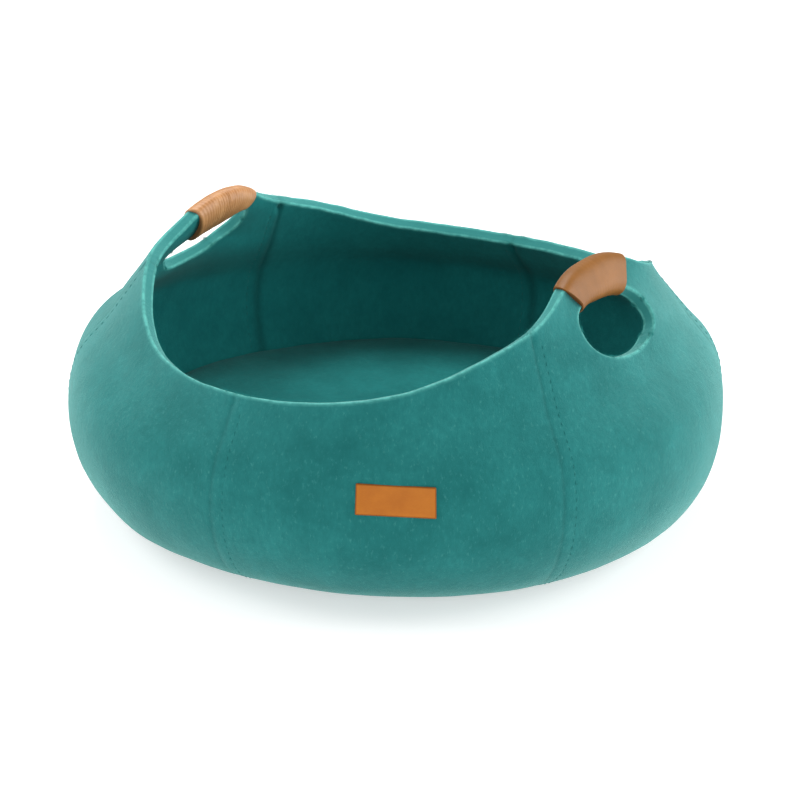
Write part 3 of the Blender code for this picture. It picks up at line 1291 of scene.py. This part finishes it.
@dataclass
class Fuzz:
    """The loose fibres that stand out from brushed felt, thickest along its cut edges."""

    on_faces: int = 15000
    on_edges: int = 16000
    length: float = 0.0016
    girth: float = 0.00006
    sunk: float = 0.0002
    lie_on_faces: float = 0.9
    lie_on_edges: float = 0.7
    edge_spread: float = 0.0012
    edge_mark: float = 0.9  # vertices marked more than this are by a cut edge
    low: float = 0.004
    seed: int = 11

    def build(self, pieces: list[bpy.types.Object], material: bpy.types.Material) -> bpy.types.Object:
        """Scatter the fibres over finished felt pieces.

        Args:
            pieces: the gores, whose vertices carry the mark of a cut edge's arris.
            material: the fibres' material.

        Returns:
            All the fibres as one object.
        """
        self.chance = random.Random(self.seed)
        self.verts: list[Vector] = []
        self.faces: list[tuple[int, ...]] = []
        polygons = [
            (piece.data, polygon) for piece in pieces for polygon in piece.data.polygons
            if polygon.center.z > self.low and polygon.material_index == 0
        ]
        reach = list(accumulate(polygon.area for _, polygon in polygons))
        for _ in range(self.on_faces):
            mesh, polygon = polygons[min(bisect(reach, self.chance.random() * reach[-1]), len(polygons) - 1)]
            corners = [mesh.vertices[k].co for k in polygon.vertices]
            across, along = self.chance.random(), self.chance.random()
            near = corners[0].lerp(corners[1], across)
            far = corners[-1].lerp(corners[2], across)
            self.add_fibre(near.lerp(far, along), polygon.normal, self.lie_on_faces)
        arrises = []
        for piece in pieces:
            marks = piece.data.attributes["arris"].data
            arrises += [
                vertex for vertex in piece.data.vertices
                if marks[vertex.index].value > self.edge_mark and vertex.co.z > self.low
            ]
        for _ in range(self.on_edges):
            vertex = self.chance.choice(arrises)
            place = vertex.co + self.scatter() * self.edge_spread
            self.add_fibre(place, vertex.normal, self.lie_on_edges)
        return add_piece("felt_fuzz", "wall_felt", self.verts, self.faces, material)

    def scatter(self) -> Vector:
        """A random direction."""
        return Vector([self.chance.gauss(0, 1) for _ in range(3)]).normalized()

    def add_fibre(self, root: Vector, normal: Vector, lie: float) -> None:
        """Add one fibre: a slender closed spike that leans over by a random amount.

        Args:
            root: where it leaves the felt.
            normal: the way that the felt faces there.
            lie: how far it lies down, from 0 to 1.
        """
        lean = self.scatter()
        flat = (lean - normal * lean.dot(normal)).normalized()
        way = (normal * (1.15 - lie) + flat * lie).normalized()
        length = self.length * (0.4 + self.chance.random())
        side = way.cross(normal).normalized()
        other = way.cross(side)
        start = root - normal * self.sunk
        count = len(self.verts)
        self.verts += [
            start + side * self.girth,
            start - side * self.girth * 0.5 + other * self.girth * 0.87,
            start - side * self.girth * 0.5 - other * self.girth * 0.87,
            start + way * length,
        ]
        self.faces += [
            (count, count + 1, count + 3), (count + 1, count + 2, count + 3),
            (count + 2, count, count + 3), (count + 2, count + 1, count),
        ]


@dataclass
class Stitching:
    """The rows of thread stitches beside every seam, inside and out."""

    surface: FeltSurface
    pitch: float = 0.0062
    stitch: float = 0.0040
    thread: float = 0.00030
    arch: float = 1.6  # how far the middle rises and the ends sink, in thread radii
    sink: float = 0.9
    end_girth: float = 0.55  # the ends' thickness as a share of the middle's
    sides: int = 6
    stations: int = 6
    low: float = 0.09
    high: float = 0.975

    def build(self, material: bpy.types.Material) -> bpy.types.Object:
        """Build all the stitches as one piece.

        Args:
            material: the thread's material.

        Returns:
            The piece.
        """
        surface = self.surface
        verts, faces = [], []
        for seam in surface.seams:
            angle = seam + math.degrees(surface.stitch_line / surface.nominal_radius)
            length = surface.wall.length(angle)
            count = int((self.high - self.low) * length / self.pitch)
            for inside in (False, True):
                for k in range(count):
                    start = self.low + k * self.pitch / length
                    self.add_stitch(verts, faces, angle, start, length, inside)
        return add_piece("seam_stitches", "wall_felt", verts, faces, material)

    def add_stitch(
        self, verts: list[Vector], faces: list[tuple[int, ...]],
        angle: float, start: float, length: float, inside: bool,
    ) -> None:
        """Add one stitch: a short bent thread that dips into the felt at both ends.

        Args:
            verts: the vertices so far, which get the new ones.
            faces: the faces so far, which get the new ones.
            angle: the plan angle of the row of stitches.
            start: the share of the way up at which the stitch starts.
            length: the length of the wall's outline there.
            inside: whether it is on the face towards the cushion.
        """
        surface, wall = self.surface, self.surface.wall
        centres = []
        for station in range(self.stations + 1):
            part = station / self.stations
            share = start + part * self.stitch / length
            rise = self.thread * (self.arch * math.sin(math.pi * part) - self.sink)
            place, _, _ = surface.place(angle, share, inside, 1.0)
            outward = wall.point(angle, share, 0.0) - wall.point(angle, share, wall.felt)
            outward.normalize()
            centres.append((place + outward * (-rise if inside else rise), outward))
        rings = []
        for k, (centre, outward) in enumerate(centres):
            before, after = centres[max(k - 1, 0)][0], centres[min(k + 1, self.stations)][0]
            along = (after - before).normalized()
            across = along.cross(outward).normalized()
            middling = (1 - self.end_girth) * math.sin(math.pi * k / self.stations)
            girth = self.thread * (self.end_girth + middling)
            turns = [2 * math.pi * side / self.sides for side in range(self.sides)]
            rings.append([
                centre + (across * math.cos(turn) + outward * math.sin(turn)) * girth for turn in turns
            ])
        new_verts, new_faces = solid(rings, count=len(verts))
        verts += new_verts
        faces += new_faces


# The studio


@dataclass(frozen=True)
class Softbox:
    """A square soft light aimed at the basket."""

    name: str
    azimuth: float
    elevation: float
    distance: float
    size: float
    power: float


@dataclass
class Studio:
    """The pale floor, the soft lights and the camera at the photograph's angle."""

    softboxes: tuple[Softbox, ...]
    world: float
    azimuth: float = 30.485
    elevation: float = 22.80
    distance: float = 2.404
    across: float = 0.0063
    target_height: float = 0.0628
    roll: float = 0.78
    pixels_a_metre: float = 1294.0
    centre: tuple[float, float] = (402.7, 422.1)
    picture: float = 800.0
    sensor: float = 36.0
    floor_reach: float = 12.0
    floor_level: float = -0.0002
    aim_height: float = 0.1
    far_clip: float = 50.0

    def direction(self, azimuth: float, elevation: float) -> Vector:
        """Work out a direction from the basket.

        Args:
            azimuth: degrees round from the front, towards the right handle.
            elevation: degrees up from the floor.

        Returns:
            The direction, of length 1.
        """
        turn, rise = math.radians(azimuth), math.radians(elevation)
        return Vector((
            math.sin(turn) * math.cos(rise), -math.cos(turn) * math.cos(rise), math.sin(rise)
        ))

    def build(self) -> None:
        """Build the floor, the lights, the world and the camera."""
        self.build_floor()
        for box in self.softboxes:
            self.build_light(box)
        world = bpy.data.worlds.new("studio")
        world.use_nodes = True
        background = world.node_tree.nodes["Background"]
        background.inputs["Color"].default_value = WHITE
        background.inputs["Strength"].default_value = self.world
        bpy.context.scene.world = world
        bpy.context.scene.view_settings.view_transform = "Standard"
        self.build_camera()

    def build_floor(self) -> None:
        """A matt white light table, lit softly from below, so that the shadow stays faint."""
        material, _, _ = blank_material("light_table", {
            "Base Color": linear("#d6d6d6"),
            "Emission Color": WHITE,
            "Emission Strength": 0.50,
            "Roughness": 0.9,
            "Specular IOR Level": 0.1,
        })
        mesh = bpy.data.meshes.new("floor")
        reach, level = self.floor_reach, self.floor_level
        turns = ((-1, -1), (1, -1), (1, 1), (-1, 1))
        mesh.from_pydata([(x * reach, y * reach, level) for x, y in turns], [], [(0, 1, 2, 3)])
        mesh.materials.append(material)
        floor = bpy.data.objects.new("floor", mesh)
        bpy.context.scene.collection.objects.link(floor)

    def build_light(self, box: Softbox) -> None:
        """Build one soft light.

        Args:
            box: its place, size and power.
        """
        data = bpy.data.lights.new(box.name, "AREA")
        data.shape = "SQUARE"
        data.size = box.size
        data.energy = box.power
        light = bpy.data.objects.new(box.name, data)
        towards = self.direction(box.azimuth, box.elevation)
        light.location = towards * box.distance + Vector((0, 0, self.aim_height))
        light.rotation_mode = "QUATERNION"
        light.rotation_quaternion = towards.to_track_quat("Z", "Y")
        bpy.context.scene.collection.objects.link(light)

    def build_camera(self) -> None:
        """The camera that saw the photograph, from the fit of the basket's outline."""
        back = self.direction(self.azimuth, self.elevation)
        turn = math.radians(self.azimuth)
        right = Vector((math.cos(turn), math.sin(turn), 0.0))
        up = back.cross(right)
        lean = math.radians(self.roll)
        tilted_right = right * math.cos(lean) + up * math.sin(lean)
        tilted_up = up * math.cos(lean) - right * math.sin(lean)
        target = Vector((math.cos(turn) * self.across, math.sin(turn) * self.across, self.target_height))
        data = bpy.data.cameras.new("camera")
        data.sensor_width = self.sensor
        data.lens = self.pixels_a_metre * self.distance * self.sensor / self.picture
        half = self.picture / 2
        data.shift_x = -(self.centre[0] - half) / self.picture
        data.shift_y = (self.centre[1] - half) / self.picture
        data.clip_end = self.far_clip
        camera = bpy.data.objects.new("camera", data)
        axes = Matrix((tilted_right, tilted_up, back)).transposed().to_4x4()
        camera.matrix_world = Matrix.Translation(target + back * self.distance) @ axes
        bpy.context.scene.collection.objects.link(camera)
        bpy.context.scene.camera = camera


def gore_area(wall: WallShape, gore: Gore) -> float:
    """Measure a gore's felt on its middle surface.

    Args:
        wall: the wall.
        gore: the gore.

    Returns:
        Its area in square metres, less its hand hole.
    """
    steps, rows = 24, 60
    hole_share = 0.88  # a rounded hole's part of the oblong round it
    total = 0.0
    width = (gore.second - gore.first) / steps
    grid = [
        [wall.point(gore.first + width * column, row / rows, wall.felt / 2) for column in range(steps + 1)]
        for row in range(rows + 1)
    ]
    for lower, upper in zip(grid, grid[1:]):
        for k in range(steps):
            total += (lower[k + 1] - lower[k]).cross(upper[k] - lower[k]).length
    if gore.hole:
        total -= hole_share * gore.hole.length * gore.hole.height
    return total


def report(piece: bpy.types.Object) -> bpy.types.Object:
    """Log a finished piece and hand it back."""
    LOG.info("%s: %d faces", piece.name, len(piece.data.polygons))
    return piece


def main() -> None:
    """Build every piece in order, then the studio."""
    logging.basicConfig(level=logging.INFO, format="%(message)s")
    wall = WallShape()
    surface = FeltSurface(wall)
    felt = FeltFinish("teal_felt").material()
    # the felt's inner face, which is pressed flatter: plainer, with little sheen and hardly any pale nap.
    # Its colour is a copy of the felt's set a little lighter, painted light for the dim interior, and its
    # creases get deeper painted shade
    inside = FeltFinish(
        "teal_felt_inside_painted_light", shade="#0d6060", light="#1f7f7d", flecks=0.10, sheen=0.08, crease_shade_tone=0.68
    ).material()
    # short sheared plush: its pile shades itself, so its tone is deeper and softer than the felt's; its ring
    # by the wall gets painted shade
    plush = FeltFinish(
        "teal_plush", shade="#0d5f5e", light="#258582", fleck="#4f9c97", flecks=0.24,
        clouds=Pattern(14, 5, 0.72, 0.25, 0.78), sheen=0.12,
        lump_height=0.0002, fibre_height=0.0009, crease_shade_tone=0.72,
    ).material()
    # pale leather pressed into ribs, with a soft shine along each
    ribbed_tan = LeatherFinish("tan_leather_ribbed", "#a06e42", "#ba8858", 0.45).material()
    # smooth leather, the same tan set darker as painted shade, since the lights on the right fall strongest
    # on this sleeve; it has a broad dull highlight
    shaded_smooth_tan = LeatherFinish("tan_leather_smooth_shaded", "#744a1d", "#835524", 0.45, shine=0.25).material()
    # the patch's leather, dyed through and hardly waxed: strong in colour and nearly matt
    orange = LeatherFinish("orange_leather", "#a15c18", "#ac661c", 0.55, shine=0.2).material()

    right, left = wall.handles
    gores = [
        Gore("gore_back_right", 30, 92, surface),
        Gore("gore_back_left", 92, 150, surface),
        Gore("gore_front_left", 210, 268, surface),
        Gore("gore_front", 268, 330, surface),
        Gore("gore_handle_right", right.first, right.second, surface, HandHole(wall, right.middle)),
        Gore("gore_handle_left", left.first, left.second, surface, HandHole(wall, left.middle)),
    ]
    pieces = []
    for gore in gores:
        piece = report(gore.build(felt, inside))
        pieces.append(piece)
        area = gore_area(wall, gore)
        middle = (gore.first + gore.second) / 2
        width = math.radians(gore.second - gore.first) * wall.table(3, middle)
        round(wall.length(middle), 3)
    base = report(Turned(
        "base", "felt_base", "wall_felt",
        (  # radius, height
            (0.020, 0.0), (0.120, 0.0), (0.1345, 0.0), (0.1362, 0.0015), (0.1362, 0.0085),
            (0.1345, 0.0100), (0.120, 0.0100), (0.020, 0.0100),
        ),
        96, 4, 0.0, 0.0,
    ).build(felt))
    cushion = report(Turned(
        "cushion", "plush_cushion", "cushion_felt",
        (  # radius, height
            (0.060, 0.0105), (0.120, 0.0105), (0.173, 0.0152), (0.199, 0.0248), (0.211, 0.0342),
            (0.2155, 0.0402), (0.2155, 0.0455), (0.210, 0.0500), (0.194, 0.0530), (0.120, 0.0548),
            (0.050, 0.0554), (0.010, 0.0556),
        ),
        160, 6, 0.0020, 0.0006, 0.034,
    ).build(plush))
    for handle, rib_height, rib_pitch, leather in (
        (right, 0.00008, 0.0060, shaded_smooth_tan),
        (left, 0.00125, 0.0042, ribbed_tan),
    ):
        hole = HandHole(wall, handle.middle)
        report(Sleeve(handle.side, hole, surface, rib_height, rib_pitch).build(leather))
    report(Patch(surface).build(orange))
    # single fibres let light through, so they look paler than the felt that they stand on
    fibre = FeltFinish("felt_fibre", shade="#1f7673", light="#36908b", sheen=0.0).material()
    report(Fuzz().build(pieces, fibre))
    report(Stitching(surface).build(felt))

    Studio(
        softboxes=(  # azimuth, elevation, distance, size, power
            Softbox("left_softbox", -65, 32, 2.2, 1.6, 34),
            Softbox("right_softbox", 124, 20, 2.2, 1.6, 51),
            Softbox("back_softbox", 222, 62, 2.6, 1.5, 56),
            Softbox("front_softbox", 34, 18, 3.0, 1.6, 35),
        ),
        world=0.40,
    ).build()


if __name__ == "__main__":
    main()
